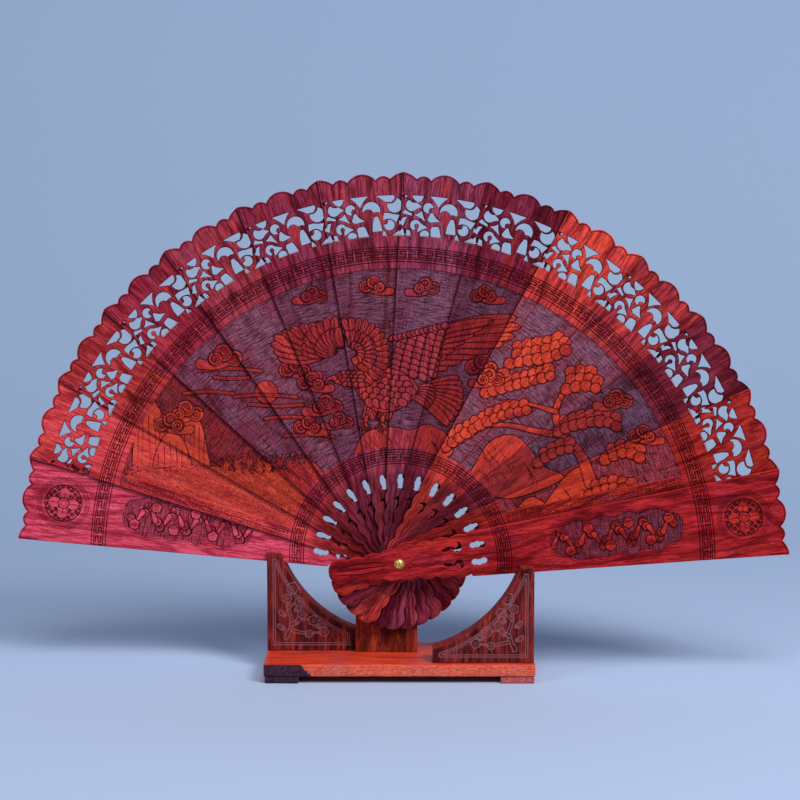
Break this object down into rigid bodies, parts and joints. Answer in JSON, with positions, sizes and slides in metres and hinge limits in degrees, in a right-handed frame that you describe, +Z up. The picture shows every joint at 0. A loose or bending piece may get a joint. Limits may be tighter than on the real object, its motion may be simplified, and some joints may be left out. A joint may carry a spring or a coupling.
{
  "type": "folding fan on stand",
  "caption": "Carved wooden folding fan with a pierced scroll border, riveted at the head so its blades fan open, standing upright in the notches of a small wooden stand.",
  "frame": {"origin": "centre of the stand's footprint, on the surface that its feet rest on", "axes": "+Z up, -Y the carved front that faces a viewer, +X towards the front guard; the rivet runs along Y"},
  "size_m": [0.4006, 0.054, 0.2604],
  "materials": {
    "wood_red": "satin, waxed",
    "wood_orange": "satin, waxed",
    "wood_crimson": "satin, waxed",
    "wood_maroon": "satin, waxed",
    "wood_brown": "satin, oiled",
    "dowel_wood": "raw",
    "brass": "polished",
    "thread": "twisted cotton thread"
  },
  "bodies": {
    "stand": {"base_plank": "wood_orange", "foot_left": "wood_crimson", "foot_right": "wood_crimson", "bracket_left": "wood_brown", "bracket_right": "wood_brown", "rest_block": "wood_red", "dowels": "dowel_wood"},
    "front_guard": {"guard_front": "wood_red", "rivet": "brass", "rivet_rear_cap": "brass"},
    "rear_guard": {"guard_rear": "wood_crimson"},
    "blade_02": {"blade_02": "wood_orange", "tie_thread_02": "thread"},
    "blade_03": {"blade_03": "wood_red", "tie_thread_03": "thread"},
    "blade_04": {"blade_04": "wood_crimson", "tie_thread_04": "thread"},
    "blade_05": {"blade_05": "wood_orange", "tie_thread_05": "thread"},
    "blade_06": {"blade_06": "wood_maroon", "tie_thread_06": "thread"},
    "blade_07": {"blade_07": "wood_red", "tie_thread_07": "thread"},
    "blade_08": {"blade_08": "wood_crimson", "tie_thread_08": "thread"},
    "blade_09": {"blade_09": "wood_maroon", "tie_thread_09": "thread"},
    "blade_10": {"blade_10": "wood_orange", "tie_thread_10": "thread"},
    "blade_11": {"blade_11": "wood_red", "tie_thread_11": "thread"},
    "blade_12": {"blade_12": "wood_maroon", "tie_thread_12": "thread"},
    "blade_13": {"blade_13": "wood_orange", "tie_thread_13": "thread"}
  },
  "joints": [
    {"name": "fan_lift", "type": "slide", "parent": "stand", "child": "front_guard", "axis": [0, 0, 1], "range_m": [0, 0.06]},
    {"name": "fan_fold", "type": "hinge", "parent": "front_guard", "child": "rear_guard", "pos_m": [0, 0, 0.06], "axis": [0, 1, 0], "range_deg": [0, 163.15]},
    {"name": "blade_fold_02", "type": "hinge", "parent": "front_guard", "child": "blade_02", "pos_m": [0, 0, 0.06], "axis": [0, 1, 0], "range_deg": [0, 150.62]},
    {"name": "blade_fold_03", "type": "hinge", "parent": "front_guard", "child": "blade_03", "pos_m": [0, 0, 0.06], "axis": [0, 1, 0], "range_deg": [0, 138.07]},
    {"name": "blade_fold_04", "type": "hinge", "parent": "front_guard", "child": "blade_04", "pos_m": [0, 0, 0.06], "axis": [0, 1, 0], "range_deg": [0, 125.52]},
    {"name": "blade_fold_05", "type": "hinge", "parent": "front_guard", "child": "blade_05", "pos_m": [0, 0, 0.06], "axis": [0, 1, 0], "range_deg": [0, 112.97]},
    {"name": "blade_fold_06", "type": "hinge", "parent": "front_guard", "child": "blade_06", "pos_m": [0, 0, 0.06], "axis": [0, 1, 0], "range_deg": [0, 100.42]},
    {"name": "blade_fold_07", "type": "hinge", "parent": "front_guard", "child": "blade_07", "pos_m": [0, 0, 0.06], "axis": [0, 1, 0], "range_deg": [0, 87.87]},
    {"name": "blade_fold_08", "type": "hinge", "parent": "front_guard", "child": "blade_08", "pos_m": [0, 0, 0.06], "axis": [0, 1, 0], "range_deg": [0, 75.32]},
    {"name": "blade_fold_09", "type": "hinge", "parent": "front_guard", "child": "blade_09", "pos_m": [0, 0, 0.06], "axis": [0, 1, 0], "range_deg": [0, 62.77]},
    {"name": "blade_fold_10", "type": "hinge", "parent": "front_guard", "child": "blade_10", "pos_m": [0, 0, 0.06], "axis": [0, 1, 0], "range_deg": [0, 50.22]},
    {"name": "blade_fold_11", "type": "hinge", "parent": "front_guard", "child": "blade_11", "pos_m": [0, 0, 0.06], "axis": [0, 1, 0], "range_deg": [0, 37.67]},
    {"name": "blade_fold_12", "type": "hinge", "parent": "front_guard", "child": "blade_12", "pos_m": [0, 0, 0.06], "axis": [0, 1, 0], "range_deg": [0, 25.12]},
    {"name": "blade_fold_13", "type": "hinge", "parent": "front_guard", "child": "blade_13", "pos_m": [0, 0, 0.06], "axis": [0, 1, 0], "range_deg": [0, 12.57]}
  ],
  "couplings": [
    {"joint": "blade_fold_02", "follows": "fan_fold", "ratio": 0.92308},
    {"joint": "blade_fold_03", "follows": "fan_fold", "ratio": 0.84615},
    {"joint": "blade_fold_04", "follows": "fan_fold", "ratio": 0.76923},
    {"joint": "blade_fold_05", "follows": "fan_fold", "ratio": 0.69231},
    {"joint": "blade_fold_06", "follows": "fan_fold", "ratio": 0.61538},
    {"joint": "blade_fold_07", "follows": "fan_fold", "ratio": 0.53846},
    {"joint": "blade_fold_08", "follows": "fan_fold", "ratio": 0.46154},
    {"joint": "blade_fold_09", "follows": "fan_fold", "ratio": 0.38461},
    {"joint": "blade_fold_10", "follows": "fan_fold", "ratio": 0.30769},
    {"joint": "blade_fold_11", "follows": "fan_fold", "ratio": 0.23077},
    {"joint": "blade_fold_12", "follows": "fan_fold", "ratio": 0.15385},
    {"joint": "blade_fold_13", "follows": "fan_fold", "ratio": 0.076923}
  ]
}
